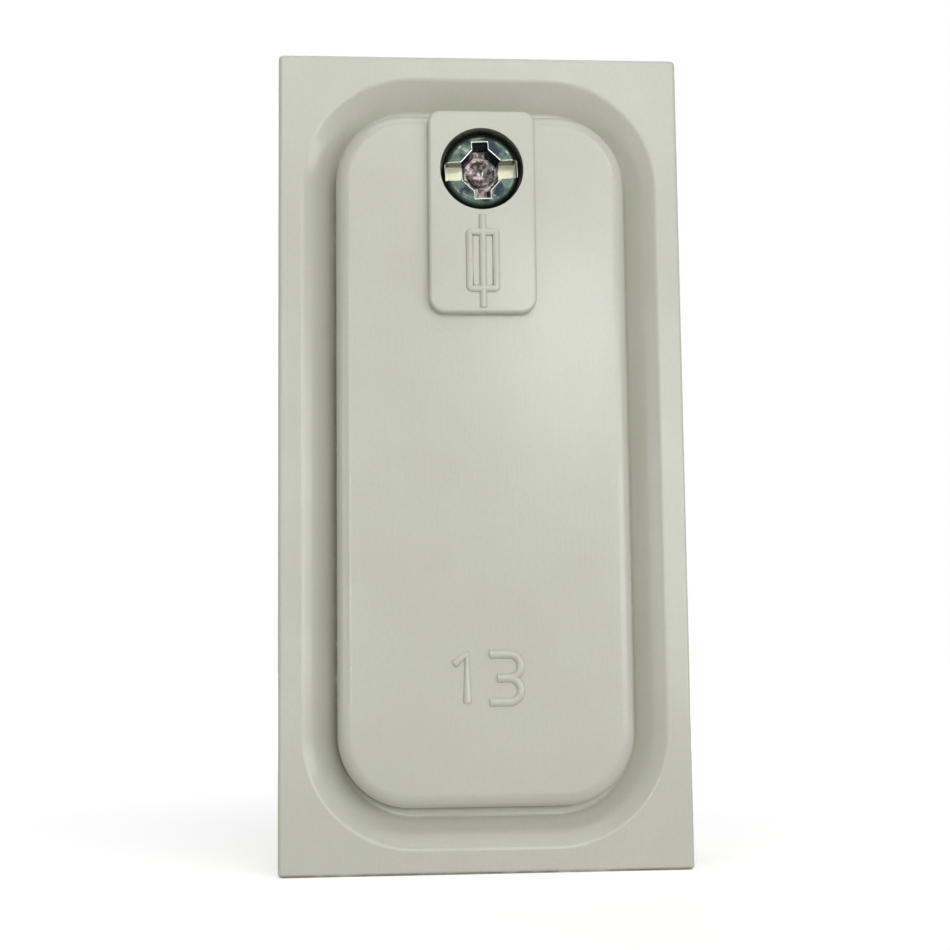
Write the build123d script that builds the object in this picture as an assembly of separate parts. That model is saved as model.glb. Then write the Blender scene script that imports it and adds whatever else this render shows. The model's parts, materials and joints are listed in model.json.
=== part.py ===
from build123d import *
import math
import os

# A fuse module for a 25 x 50 mm wiring accessory plate: a dished front frame, a rear base with two
# screw terminals, and a removable carrier that holds a cartridge fuse and is kept in by a captive screw.
# +X is right, +Z is up and -Y is towards the user. The origin is the centre of the seat, the plane
# of the flange's rear face, which lies on the plate.

# Face and flange
face_corner = 0.3
flange_depth = 3.0
rim_width = 1.5
rim_edge_radius = 0.25

# Dish in the face, round the carrier
dish_side_width = 2.025
dish_end_width = 2.45
dish_depth = 1.1
dish_slope_width = 1.85
dish_corner = 6.7
dish_lip_radius = 0.6
dish_foot_radius = 0.6

# Frame body behind the flange
body_corner = 1.2
frame_wall = 1.5
frame_body_depth = 9.0
ledge_depth = 0.7
ledge_thickness = 1.4
ledge_bridge = 1.1
passage_clearance = 0.2

# Snap catches, two at each end, that hold the module in its plate
catch_inset = 3.8
catch_width = 3.6
catch_step = 2.3
catch_reach = 0.8
catch_flat = 0.6
catch_ramp = 3.2
catch_slot = 0.6
catch_end_gap = 0.3

# Carrier cap
carrier_corner = 4.3
carrier_gap = 0.06
carrier_proud = 1.0
carrier_edge_radius = 0.85
carrier_wall = 1.4
carrier_face_wall = 1.6
carrier_seat_gap = 0.05

# Raised tab on the carrier
tab_width = 6.55
tab_length = 12.6
tab_proud = 0.6
tab_foot_corner = 1.0
tab_head_corner = 0.75
tab_edge_radius = 0.2

# Carrier screw, its head recess and its retaining ring
screw_drop = 3.65
screw_radius = 1.5
screw_pitch = 0.5
screw_turns = 8
screw_turned = 3.5
screw_engagement = 3.6
screw_head_radius = 2.4
screw_head_height = 1.7
screw_head_crown = 0.35
screw_head_sunk = 0.35
screw_tip_chamfer = 0.3
recess_clearance = 0.15
screw_clearance = 0.1
boss_floor = 1.3
boss_wall = 0.95
slot_width = 1.06
slot_reach = 2.2
slot_depth = 1.1
cross_width = 0.94
cross_reach = 1.75
cross_web_reach = 1.75
cross_depth = 1.15
ring_radius = 2.15
ring_thickness = 0.6
ring_groove_depth = 0.3
ring_groove_gap = 0.05
ring_bore_clearance = 0.05
ring_mouth = 1.9
ring_passage_clearance = 0.55
ring_stop_gap = 0.1

# Threaded insert for the carrier screw
insert_radius = 2.4
insert_length = 3.8
insert_bore_clearance = 0.05
insert_seat_clearance = 0.02
insert_groove_depth = 0.25
insert_groove_width = 0.5
insert_boss_wall = 0.9

# Cartridge fuse
fuse_length = 25.4
fuse_centre_z = -0.9
cap_radius = 3.175
cap_length = 5.6
cap_wall = 0.3
cap_edge_radius = 0.35
barrel_clearance = 0.02
barrel_wall = 0.85
element_radius = 0.15
element_bead_radius = 0.5

# Carrier shroud and the two yokes that hold the fuse
shroud_wall = 1.2
shroud_corner = 0.5
shroud_side_gap = 1.525
shroud_end_gap = 0.4
shroud_overlap = 2.9
shroud_margin = 2.975
yoke_cap_gap = 1.3
yoke_thickness = 2.4
yoke_grip = 1.6
yoke_mouth_share = 0.86
yoke_clearance = 0.05

# Sprung contacts
contact_thickness = 0.7
contact_rise = 0.45
jaw_length = 4.6
jaw_clearance = 0.05
jaw_reach = 2.0
jaw_lip = 0.8
jaw_lip_angle = 35.0
jaw_bend_radius = 0.75
strip_width = 5.0
spring_thickness = 0.4
spring_width = 3.0
spring_gap = 0.04
spring_bend_radius = 0.5
spring_short = 0.9
spring_recess_clearance = 0.1
rivet_radius = 0.9
rivet_head_radius = 1.5
rivet_head_height = 0.5
rivet_depth = 0.9
rivet_clearance = 0.02
rivet_outset = 1.8

# Terminals
terminal_width = 7.6
terminal_length = 8.0
terminal_depth = 8.4
terminal_edge = 0.3
terminal_end_wall = 1.8
terminal_clearance = 0.1
terminal_spring_gap = 0.1
wire_bore_radius = 2.1
wire_bore_depth = 3.2
wire_entry_clearance = 0.5
wire_entry_chamfer = 0.8
clamp_screw_radius = 1.72
clamp_screw_clearance = 0.05
clamp_screw_travel = 3.6
clamp_screw_gap = 0.1
clamp_head_radius = 2.4
clamp_head_height = 1.8
clamp_head_stop = 0.2
clamp_head_edge = 0.3
clamp_slot_width = 0.9
clamp_slot_depth = 1.0

# Rear base
base_floor = 2.0
base_rim_depth = 2.0
base_wall = 1.5
tower_side_wall = 2.6
tower_wall = 1.2
tower_rear_wall = 1.6
tower_corner = 1.0
chimney_wall = 1.0
chimney_clearance = 0.3
chimney_guard = 0.4

# Fixing screws and the posts and ribs that reach to the base
fixing_radius = 1.1
fixing_clearance = 0.03
fixing_hole_clearance = 0.2
fixing_inset = 3.3
fixing_length = 8.0
fixing_head_radius = 1.9
fixing_head_height = 1.3
fixing_slot_width = 0.5
fixing_slot_depth = 0.6
post_radius = 1.7
post_gap = 0.05
post_passage_wall = 0.2
rib_thickness = 1.0
rib_width = 6.0
rib_offset = 0.1
rib_rivet_clearance = 0.15

# Depths, front to rear
rim_y = -flange_depth
dish_y = rim_y + dish_depth
face_y = rim_y - carrier_proud
tab_y = face_y - tab_proud
ledge_y = ledge_depth
ledge_rear_y = ledge_y + ledge_thickness
cap_rear_y = ledge_y - carrier_seat_gap
pocket_y = face_y + carrier_face_wall
split_y = frame_body_depth
base_floor_y = split_y + base_rim_depth
base_rear_y = base_floor_y + base_floor

# Carrier screw, from its head's crown to its tip
screw_travel = screw_pitch * screw_turns
head_top_y = tab_y + screw_head_sunk
head_seat_y = head_top_y + screw_head_height
boss_rear_y = head_seat_y + boss_floor
ring_front_y = boss_rear_y + screw_travel + ring_stop_gap
ring_rear_y = ring_front_y + ring_thickness
insert_rear_y = split_y
insert_front_y = insert_rear_y - insert_length
tip_y = insert_front_y + screw_engagement
ring_passage = ring_radius + ring_passage_clearance
boss_radius = ring_passage + insert_boss_wall

# Contacts and fuse
strip_front_y = base_floor_y - contact_thickness
fuse_y = strip_front_y - contact_rise - cap_radius
barrel_radius = cap_radius - cap_wall - barrel_clearance
jaw_inner = cap_radius + jaw_clearance
jaw_outer = jaw_inner + contact_thickness
jaw_front_y = fuse_y - jaw_reach
jaw_offset = fuse_length / 2 - cap_length / 2
spring_inner = jaw_outer + spring_gap
spring_outer = spring_inner + spring_thickness

# Shroud of the carrier
shroud_width = 2 * (cap_radius + shroud_side_gap + shroud_wall)
shroud_height = fuse_length + 2 * (shroud_end_gap + shroud_wall)
shroud_rear_y = fuse_y + shroud_overlap
passage_top = fuse_centre_z + shroud_height / 2 + passage_clearance
passage_foot = fuse_centre_z - shroud_height / 2 - passage_clearance
yoke_offset = fuse_length / 2 - cap_length - yoke_cap_gap - yoke_thickness / 2

# Carrier cap and face, worked outwards from the shroud and the screw
screw_z = passage_top + ledge_bridge + ring_passage
carrier_width = shroud_width + 2 * shroud_margin
carrier_height = 2 * (screw_z + screw_drop)
face_width = carrier_width + 2 * (dish_side_width + rim_width)
face_height = carrier_height + 2 * (dish_end_width + rim_width)

# Terminals and the towers that hold them
spring_foot_z = jaw_offset - fuse_centre_z + spring_width / 2
terminal_z = spring_foot_z + terminal_spring_gap + terminal_length / 2
terminal_rear_y = base_floor_y + terminal_depth
wire_y = base_floor_y + wire_bore_depth
clamp_tip_y = wire_y + wire_bore_radius + clamp_screw_gap
clamp_head_y = terminal_rear_y + clamp_screw_travel + clamp_head_stop
tower_rear_y = terminal_rear_y + tower_rear_wall
rivet_z = terminal_z + rivet_outset
tower_width = terminal_width + 2 * (terminal_clearance + tower_side_wall)
tower_foot = terminal_z - terminal_length / 2 - terminal_clearance - tower_wall
chimney_bore = clamp_head_radius + chimney_clearance
chimney_rear_y = clamp_head_y + clamp_head_height + chimney_guard

# Frame body and base, worked outwards from the fixing screws and the terminals
fixing_x = shroud_width / 2 + passage_clearance + post_passage_wall + post_radius
body_width = 2 * (fixing_x + fixing_inset)
body_height = 2 * (terminal_z + terminal_length / 2 + terminal_clearance + terminal_end_wall)
catch_x = body_width / 2 - catch_inset

tiny = 0.01


def facing(y):
    """The plane across the module at depth y, seen by the user: X to the right and Z up."""
    return Plane(origin=(0, y, 0), x_dir=(1, 0, 0), z_dir=(0, -1, 0))


def slab(outline, front_y, rear_y):
    """An outline, drawn as the user sees it, made solid between two depths."""
    return extrude(facing(rear_y) * outline, amount=rear_y - front_y)


def disc(radius, x, z, front_y, rear_y):
    """A round bar along Y."""
    return slab(Pos(x, z) * Circle(radius), front_y, rear_y)


def along_z(outline, low_z, high_z):
    """An outline in X and Y made solid between two heights."""
    return extrude(Plane.XY.offset(low_z) * outline, amount=high_z - low_z)


def edges_at(solid, y):
    """The edges of a solid that lie wholly at one depth."""
    return solid.edges().filter_by_position(Axis.Y, y - tiny, y + tiny)


def upside_down(solid):
    """The same piece at the lower end."""
    return mirror(solid, about=Plane.XY)


def dish_outline():
    """The dish's outline at the rim."""
    return RectangleRounded(face_width - 2 * rim_width, face_height - 2 * rim_width, dish_corner)


def carrier_outline(growth):
    """The carrier cap's outline, moved outwards by growth."""
    return RectangleRounded(
        carrier_width + 2 * growth, carrier_height + 2 * growth, carrier_corner + growth
    )


def shroud_outline(growth):
    """The shroud's outline round the fuse, moved outwards by growth."""
    return Pos(0, fuse_centre_z) * RectangleRounded(
        shroud_width + 2 * growth, shroud_height + 2 * growth, shroud_corner + shroud_wall + growth
    )


def snap_catch(x):
    """One wedge on the upper end wall, with its step towards the flange."""
    wall_z = body_height / 2
    with BuildLine(Plane.YZ) as outline:
        Polyline(
            (catch_step, wall_z - tiny),
            (catch_step, wall_z + catch_reach),
            (catch_step + catch_flat, wall_z + catch_reach),
            (catch_step + catch_flat + catch_ramp, wall_z - tiny),
            close=True,
        )
    wedge = extrude(make_face(outline.edges()), amount=catch_width / 2, both=True)
    return Pos(x, 0, 0) * wedge


def catch_cuts(x):
    """The slots beside a catch, and the gap at its free end, that let its tongue bend."""
    wall_z = body_height / 2 - frame_wall / 2
    height = 2 * frame_wall
    start_y = catch_step + catch_flat / 2
    tongue = catch_width + 2 * catch_slot
    cuts = Part()
    for side in (-1, 1):
        slot_x = x + side * (catch_width + catch_slot) / 2
        cuts += slab(Pos(slot_x, wall_z) * Rectangle(catch_slot, height), start_y, split_y)
    return cuts + slab(Pos(x, wall_z) * Rectangle(tongue, height), split_y - catch_end_gap, split_y)


def hold_down_rib(z):
    """A rib behind the ledge that keeps a contact strip down on the base."""
    return slab(Pos(0, z) * Rectangle(rib_width, rib_thickness), ledge_rear_y, strip_front_y - post_gap)


def front_frame():
    frame = slab(RectangleRounded(face_width, face_height, face_corner), rim_y, 0)
    frame = fillet(edges_at(frame, rim_y), rim_edge_radius)

    # dish: a sinking with sloped sides, a soft foot and a soft lip
    lean = math.degrees(math.atan2(dish_slope_width, dish_depth))
    rim = Plane(origin=(0, rim_y, 0), x_dir=(1, 0, 0), z_dir=(0, 1, 0))
    frame -= extrude(rim * dish_outline(), amount=dish_depth, taper=lean)
    frame = fillet(edges_at(frame, dish_y), dish_foot_radius)
    inner_lip = [e for e in edges_at(frame, rim_y) if abs(e.center().X) < face_width / 2 - rim_width / 2]
    inner_lip = [e for e in inner_lip if abs(e.center().Z) < face_height / 2 - rim_width / 2]
    frame = fillet(inner_lip, dish_lip_radius)

    # body: a solid front with the ledge, then thin walls
    body = RectangleRounded(body_width, body_height, body_corner)
    hollow = RectangleRounded(
        body_width - 2 * frame_wall, body_height - 2 * frame_wall, body_corner
    )
    frame += slab(body, 0, split_y) - slab(hollow, ledge_rear_y, split_y)

    # well for the carrier cap, and the way through the ledge for its shroud
    frame -= slab(carrier_outline(carrier_gap), dish_y, ledge_y)
    frame -= slab(shroud_outline(passage_clearance), ledge_y, ledge_rear_y)

    # boss for the threaded insert, with room in front of it for the retaining ring
    frame += disc(boss_radius, 0, screw_z, ledge_rear_y, split_y) - slab(
        Pos(0, body_height / 2 + boss_radius) * Rectangle(body_width, 2 * boss_radius), 0, split_y
    )
    frame += hold_down_rib(passage_top + rib_offset + rib_thickness / 2)
    frame -= disc(ring_passage, 0, screw_z, ledge_y, insert_front_y)
    frame -= disc(insert_radius + insert_seat_clearance, 0, screw_z, insert_front_y, split_y)
    frame += hold_down_rib(passage_foot - rib_offset - rib_thickness / 2)

    # room in front of the rivets' heads, where they come near a rib
    for end in (-1, 1):
        clear_radius = rivet_head_radius + rib_rivet_clearance
        clear_y = strip_front_y - rivet_head_height - rib_rivet_clearance
        frame -= disc(clear_radius, 0, end * rivet_z, clear_y, strip_front_y)

    # posts for the fixing screws
    for side in (-1, 1):
        x = side * fixing_x
        hole = fixing_radius + fixing_clearance
        frame += disc(post_radius, x, 0, ledge_rear_y, base_floor_y - post_gap)
        frame -= disc(hole, x, 0, base_floor_y - fixing_length, base_floor_y)

    for side in (-1, 1):
        x = side * catch_x
        frame = frame - catch_cuts(x) - upside_down(catch_cuts(x))
        frame = frame + snap_catch(x) + upside_down(snap_catch(x))
    return frame


def fuse_carrier():
    cap = slab(carrier_outline(0), face_y, cap_rear_y)
    cap = fillet(edges_at(cap, face_y), carrier_edge_radius)

    # raised tab, flush with the cap's upper side
    tab_z = (carrier_height - tab_length) / 2
    tab = slab(Pos(0, tab_z) * Rectangle(tab_width, tab_length), tab_y, pocket_y - tiny)
    upright = tab.edges().filter_by(Axis.Y)
    tab = fillet(upright.filter_by_position(Axis.Z, 0, tab_z), tab_foot_corner)
    upright = tab.edges().filter_by(Axis.Y)
    at_head = upright.filter_by_position(Axis.Z, carrier_height / 2 - tiny, carrier_height)
    tab = fillet(at_head, tab_head_corner)
    cap += fillet(edges_at(tab, tab_y), tab_edge_radius)

    # hollow under the face
    cap -= slab(carrier_outline(-carrier_wall), pocket_y, cap_rear_y)

    # shroud round the fuse, open at the rear, and its two yokes
    shroud = slab(shroud_outline(0), pocket_y - tiny, shroud_rear_y)
    shroud -= slab(shroud_outline(-shroud_wall), pocket_y, shroud_rear_y)
    cap += shroud
    yoke_rear_y = fuse_y + yoke_grip
    mouth = 2 * barrel_radius * yoke_mouth_share
    for side in (-1, 1):
        z = fuse_centre_z + side * yoke_offset
        outline = Pos(0, z) * Rectangle(shroud_width - shroud_wall, yoke_thickness)
        yoke = slab(outline, pocket_y - tiny, yoke_rear_y)
        yoke -= slab(Pos(0, z) * Rectangle(mouth, yoke_thickness), fuse_y, yoke_rear_y)
        cap += yoke
    cap -= along_z(
        Pos(0, fuse_y) * Circle(barrel_radius + yoke_clearance),
        fuse_centre_z - yoke_offset - yoke_thickness,
        fuse_centre_z + yoke_offset + yoke_thickness,
    )

    # boss, head recess and clearance hole of the carrier screw
    recess_radius = screw_head_radius + recess_clearance
    cap += disc(recess_radius + boss_wall, 0, screw_z, pocket_y - tiny, boss_rear_y)
    cap -= disc(recess_radius, 0, screw_z, tab_y, head_seat_y)
    cap -= disc(screw_radius + screw_clearance, 0, screw_z, head_seat_y, boss_rear_y)
    return cap


def turned(points, x, z):
    """A round piece along Y about x, z, from its half section given as (radius, depth) points."""
    with BuildLine(Plane.XY) as half:
        Polyline(*points, close=True)
    piece = revolve(make_face(half.edges()), axis=Axis.Y)
    return Pos(x, 0, z) * piece


def carrier_screw():
    groove_radius = screw_radius - ring_groove_depth
    groove_front_y = ring_front_y - ring_groove_gap
    groove_rear_y = ring_rear_y + ring_groove_gap
    shank = turned(
        [
            (0, head_seat_y - tiny),
            (screw_radius, head_seat_y - tiny),
            (screw_radius, groove_front_y),
            (groove_radius, groove_front_y),
            (groove_radius, groove_rear_y),
            (screw_radius, groove_rear_y),
            (screw_radius, tip_y - screw_tip_chamfer),
            (screw_radius - screw_tip_chamfer, tip_y),
            (0, tip_y),
        ],
        0,
        screw_z,
    )
    head = disc(screw_head_radius, 0, screw_z, head_top_y, head_seat_y)
    head = fillet(edges_at(head, head_top_y), screw_head_crown)

    # slot across the head, and the upright arms with sloping webs between and a pointed middle
    slot = slab(Rectangle(2 * slot_reach, slot_width), head_top_y, head_top_y + slot_depth)
    web_side = cross_web_reach * math.sqrt(2)
    cross = slab(
        Rectangle(cross_width, 2 * cross_reach) + Rot(0, 0, 45) * Rectangle(web_side, web_side),
        head_top_y,
        head_top_y + cross_depth,
    )
    point_y = head_top_y + cross_depth + cross_width / 2
    middle = turned([(0, head_top_y), (cross_width, head_top_y), (0, point_y)], 0, 0)
    recess = Pos(0, 0, screw_z) * Rot(0, -screw_turned, 0) * (slot + cross + middle)
    return shank + head - recess


def screw_retainer():
    """A split ring in the shank's groove, with its mouth downwards."""
    bore = screw_radius - ring_groove_depth + ring_bore_clearance
    ring = disc(ring_radius, 0, screw_z, ring_front_y, ring_rear_y)
    ring -= disc(bore, 0, screw_z, ring_front_y, ring_rear_y)
    mouth = Pos(0, screw_z - ring_radius / 2) * Rectangle(ring_mouth, ring_radius)
    return ring - slab(mouth, ring_front_y, ring_rear_y)


def threaded_insert():
    bore = screw_radius + insert_bore_clearance
    waist = insert_radius - insert_groove_depth
    middle_y = (insert_front_y + insert_rear_y) / 2
    return turned(
        [
            (bore, insert_front_y),
            (insert_radius, insert_front_y),
            (insert_radius, middle_y - insert_groove_width / 2),
            (waist, middle_y - insert_groove_width / 2),
            (waist, middle_y + insert_groove_width / 2),
            (insert_radius, middle_y + insert_groove_width / 2),
            (insert_radius, insert_rear_y),
            (bore, insert_rear_y),
        ],
        0,
        screw_z,
    )


def fuse_barrel():
    half = fuse_length / 2 - cap_wall
    ring = Pos(0, fuse_y) * (Circle(barrel_radius) - Circle(barrel_radius - barrel_wall))
    return along_z(ring, fuse_centre_z - half, fuse_centre_z + half)


def fuse_cap(end):
    """A metal cup over one end of the barrel: end is 1 for the upper and -1 for the lower."""
    far_z = fuse_length / 2
    cup = along_z(Circle(cap_radius), far_z - cap_length, far_z)
    cup = fillet(cup.edges().filter_by_position(Axis.Z, far_z - tiny, far_z + tiny), cap_edge_radius)
    cup -= along_z(Circle(cap_radius - cap_wall), far_z - cap_length, far_z - cap_wall)
    if end < 0:
        cup = upside_down(cup)
    return Pos(0, fuse_y, fuse_centre_z) * cup


def fuse_element():
    """A wire from cap to cap with the solder bead at its middle."""
    half = fuse_length / 2 - cap_wall
    wire = along_z(Pos(0, fuse_y) * Circle(element_radius), fuse_centre_z - half, fuse_centre_z + half)
    return wire + Pos(0, fuse_y, fuse_centre_z) * Sphere(element_bead_radius)


def bent_strip(points, radius, thickness, width):
    """A strip of one thickness bent through points in X and Y, centred on the plane Z = 0."""
    with BuildLine(Plane.XY) as middle:
        FilletPolyline(*points, radius=radius)
    return extrude(trace(middle.line, line_width=thickness), amount=width / 2, both=True)


def jaw_contact(end):
    """A jaw round the fuse's cap with a strip to the terminal: end is 1 for upper and -1 for lower."""
    arm_x = jaw_inner + contact_thickness / 2
    web_y = base_floor_y - contact_thickness / 2
    lip_x = arm_x + jaw_lip * math.sin(math.radians(jaw_lip_angle))
    lip_y = jaw_front_y - jaw_lip * math.cos(math.radians(jaw_lip_angle))
    right = [(arm_x, web_y), (arm_x, jaw_front_y), (lip_x, lip_y)]
    left = [(-x, y) for x, y in reversed(right)]
    jaw_z = fuse_centre_z + end * jaw_offset
    jaw = Pos(0, 0, jaw_z) * bent_strip(left + right, jaw_bend_radius, contact_thickness, jaw_length)
    far_z = end * (terminal_z + terminal_length / 2 - terminal_edge)
    middle_z = (jaw_z + far_z) / 2
    strip = slab(
        Pos(0, middle_z) * Rectangle(strip_width, abs(far_z - jaw_z)), strip_front_y, base_floor_y
    )
    hole = disc(rivet_radius + rivet_clearance, 0, end * rivet_z, strip_front_y, base_floor_y)
    return jaw + strip - hole


def jaw_spring(end):
    """A steel clip outside a jaw that keeps it closed on the fuse."""
    arm_x = spring_inner + spring_thickness / 2
    web_y = base_floor_y + spring_thickness / 2
    front_y = jaw_front_y + spring_short
    points = [(-arm_x, front_y), (-arm_x, web_y), (arm_x, web_y), (arm_x, front_y)]
    clip = bent_strip(points, spring_bend_radius, spring_thickness, spring_width)
    return Pos(0, 0, fuse_centre_z + end * jaw_offset) * clip


def contact_rivet(end):
    """The rivet that holds a contact strip to its terminal block."""
    z = end * rivet_z
    head_front_y = strip_front_y - rivet_head_height
    head = disc(rivet_head_radius, 0, z, head_front_y, strip_front_y)
    head = fillet(edges_at(head, head_front_y), rivet_head_height / 2)
    return head + disc(rivet_radius, 0, z, strip_front_y, base_floor_y + rivet_depth)


def terminal(end):
    """A brass block with the wire's bore from its outer end and the clamping screw's hole behind it."""
    z = end * terminal_z
    block = slab(Pos(0, z) * Rectangle(terminal_width, terminal_length), base_floor_y, terminal_rear_y)
    block = chamfer(block.edges().filter_by(Axis.Y), terminal_edge)
    half = terminal_length / 2
    block -= along_z(Pos(0, wire_y) * Circle(wire_bore_radius), z - half, z + half)
    block -= disc(clamp_screw_radius + clamp_screw_clearance, 0, z, wire_y, terminal_rear_y)
    rivet_hole = rivet_radius + rivet_clearance
    return block - disc(rivet_hole, 0, end * rivet_z, base_floor_y, base_floor_y + rivet_depth)


def slotted_screw(radius, length, head_radius, head_height, head_edge, slot):
    """A screw along Y with its head's underside at the origin and its tip in front.

    slot is the width and depth of the slot in its head.
    """
    shank = disc(radius, 0, 0, -length, 0)
    shank = chamfer(edges_at(shank, -length), radius / 5)
    head = disc(head_radius, 0, 0, 0, head_height)
    head = fillet(edges_at(head, head_height), head_edge)
    slot_solid = slab(Rectangle(2 * head_radius, slot[0]), head_height - slot[1], head_height)
    return shank + head - slot_solid


def clamp_screw(end):
    """A terminal's clamping screw, backed out so that the wire's bore is open."""
    screw = slotted_screw(
        clamp_screw_radius,
        clamp_head_y - clamp_tip_y,
        clamp_head_radius,
        clamp_head_height,
        clamp_head_edge,
        (clamp_slot_width, clamp_slot_depth),
    )
    return Pos(0, clamp_head_y, end * terminal_z) * screw


def fixing_screw(side):
    """One of the two screws that hold the base to the front frame."""
    screw = slotted_screw(
        fixing_radius,
        fixing_length,
        fixing_head_radius,
        fixing_head_height,
        clamp_head_edge,
        (fixing_slot_width, fixing_slot_depth),
    )
    return Pos(side * fixing_x, base_rear_y, 0) * screw


def terminal_tower(end):
    """The solid part of the base round one terminal, with a chimney for its screw."""
    z = end * terminal_z
    middle_z = end * (tower_foot + body_height / 2) / 2
    tower = slab(
        Pos(0, middle_z) * RectangleRounded(tower_width, body_height / 2 - tower_foot, tower_corner),
        base_floor_y,
        tower_rear_y,
    )
    tower = fillet(edges_at(tower, tower_rear_y), tower_corner / 2)
    return tower + disc(chimney_bore + chimney_wall, 0, z, terminal_rear_y, chimney_rear_y)


def terminal_cuts(end):
    """What is taken out of the base for one terminal: its pocket, its screw's way and its wire's way."""
    z = end * terminal_z
    pocket = Rectangle(
        terminal_width + 2 * terminal_clearance, terminal_length + 2 * terminal_clearance
    )
    cuts = slab(Pos(0, z) * pocket, base_floor_y, terminal_rear_y)
    cuts += disc(chimney_bore, 0, z, terminal_rear_y, chimney_rear_y)
    entry = wire_bore_radius + wire_entry_clearance
    outer_z = body_height / 2
    way = along_z(Pos(0, wire_y) * Circle(entry), terminal_z, outer_z)
    funnel = Pos(0, wire_y, outer_z - wire_entry_chamfer / 2) * Cone(
        entry, entry + wire_entry_chamfer, wire_entry_chamfer
    )
    way += funnel
    return cuts + (way if end > 0 else upside_down(way))


def rear_base():
    body = RectangleRounded(body_width, body_height, body_corner)
    hollow = RectangleRounded(body_width - 2 * base_wall, body_height - 2 * base_wall, body_corner)
    base = slab(body, split_y, base_rear_y) - slab(hollow, split_y, base_floor_y)
    for end in (-1, 1):
        base += terminal_tower(end)
    for end in (-1, 1):
        base -= terminal_cuts(end)
        recess_z = fuse_centre_z + end * jaw_offset
        recess = Rectangle(
            2 * (spring_outer + spring_recess_clearance), spring_width + 2 * spring_recess_clearance
        )
        recess_y = base_floor_y + spring_thickness + spring_recess_clearance
        base -= slab(Pos(0, recess_z) * recess, base_floor_y, recess_y)
        base -= disc(
            fixing_radius + fixing_hole_clearance, end * fixing_x, 0, base_floor_y, base_rear_y
        )
    return base


parts = {
    "front_frame": front_frame(),
    "rear_base": rear_base(),
    "fuse_carrier": fuse_carrier(),
    "carrier_screw": carrier_screw(),
    "screw_retainer": screw_retainer(),
    "threaded_insert": threaded_insert(),
    "fuse_barrel": fuse_barrel(),
    "fuse_cap_upper": fuse_cap(1),
    "fuse_cap_lower": fuse_cap(-1),
    "fuse_element": fuse_element(),
    "jaw_contact_upper": jaw_contact(1),
    "jaw_contact_lower": jaw_contact(-1),
    "jaw_spring_upper": jaw_spring(1),
    "jaw_spring_lower": jaw_spring(-1),
    "contact_rivet_upper": contact_rivet(1),
    "contact_rivet_lower": contact_rivet(-1),
    "terminal_supply": terminal(1),
    "terminal_load": terminal(-1),
    "clamp_screw_supply": clamp_screw(1),
    "clamp_screw_load": clamp_screw(-1),
    "fixing_screw_left": fixing_screw(-1),
    "fixing_screw_right": fixing_screw(1),
}

os.makedirs("parts", exist_ok=True)
for name, solid in parts.items():
    export_step(solid, f"parts/{name}.step")
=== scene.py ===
"""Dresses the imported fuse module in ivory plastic, brass and steel, adds its raised marks and its
screw threads, and sets it on a plain white stage."""

import json
import math

import bmesh
import bpy
from bpy.props import FloatProperty, FloatVectorProperty, IntProperty, PointerProperty
from mathutils import Matrix, Vector

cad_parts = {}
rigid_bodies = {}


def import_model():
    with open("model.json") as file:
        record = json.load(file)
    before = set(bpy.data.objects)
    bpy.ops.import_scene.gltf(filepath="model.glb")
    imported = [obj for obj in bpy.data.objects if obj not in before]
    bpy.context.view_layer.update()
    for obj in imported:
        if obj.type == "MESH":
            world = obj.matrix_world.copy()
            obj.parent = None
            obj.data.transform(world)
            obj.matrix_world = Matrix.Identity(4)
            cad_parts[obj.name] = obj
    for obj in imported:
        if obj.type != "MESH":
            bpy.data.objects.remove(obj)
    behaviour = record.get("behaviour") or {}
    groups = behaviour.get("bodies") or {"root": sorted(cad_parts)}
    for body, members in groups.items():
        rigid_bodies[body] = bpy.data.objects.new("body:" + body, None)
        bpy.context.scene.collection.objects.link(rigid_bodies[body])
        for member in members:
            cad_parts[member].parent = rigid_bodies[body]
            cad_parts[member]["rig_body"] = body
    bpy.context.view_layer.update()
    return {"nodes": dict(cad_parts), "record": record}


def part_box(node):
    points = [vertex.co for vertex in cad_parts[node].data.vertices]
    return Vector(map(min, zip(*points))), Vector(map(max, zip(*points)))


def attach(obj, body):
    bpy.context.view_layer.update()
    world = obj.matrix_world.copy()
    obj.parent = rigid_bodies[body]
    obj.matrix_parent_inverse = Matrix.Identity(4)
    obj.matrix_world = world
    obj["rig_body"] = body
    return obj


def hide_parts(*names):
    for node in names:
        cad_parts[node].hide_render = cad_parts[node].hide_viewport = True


bl_info = {
    "name": "Fuse module",
    "version": (1, 0),
    "blender": (4, 5, 0),
    "location": "3D View > Sidebar > Fuse module",
    "description": "Dresses the packed fuse module and sets it on its stage",
    "category": "Object",
}

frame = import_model()
BODY_OF = {node: made["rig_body"] for node, made in frame["nodes"].items()}
SLOT_OF = {piece["node"]: piece["material_slot"] for piece in frame["record"]["subparts"]}
MM = 0.001
TAU = 2 * math.pi

# Places read from the frame
FACE_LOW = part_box("front_frame")[0]
CARRIER_LOW, CARRIER_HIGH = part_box("fuse_carrier")
SCREW_LOW, SCREW_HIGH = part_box("carrier_screw")
RING_LOW, RING_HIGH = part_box("screw_retainer")
SCREW_AXIS = Vector(((SCREW_LOW.x + SCREW_HIGH.x) / 2, 0, (SCREW_LOW.z + SCREW_HIGH.z) / 2))

# Sizes of the solids that their boxes don't give
CARRIER_CORNER = 4.3 * MM
TAB_PROUD = 0.6 * MM
WELL_RADIUS = 2.55 * MM

# Shapes of the raised marks
SYMBOL_CORNER = 0.12 * MM
FLAG_WIDTH, FLAG_DROP = 0.75 * MM, 0.55 * MM
ONE_UPRIGHT = -1.2 * MM
THREE_CENTRE = 1.3 * MM
THREE_END, THREE_MIDDLE = 1.15 * MM, 0.7 * MM

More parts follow.
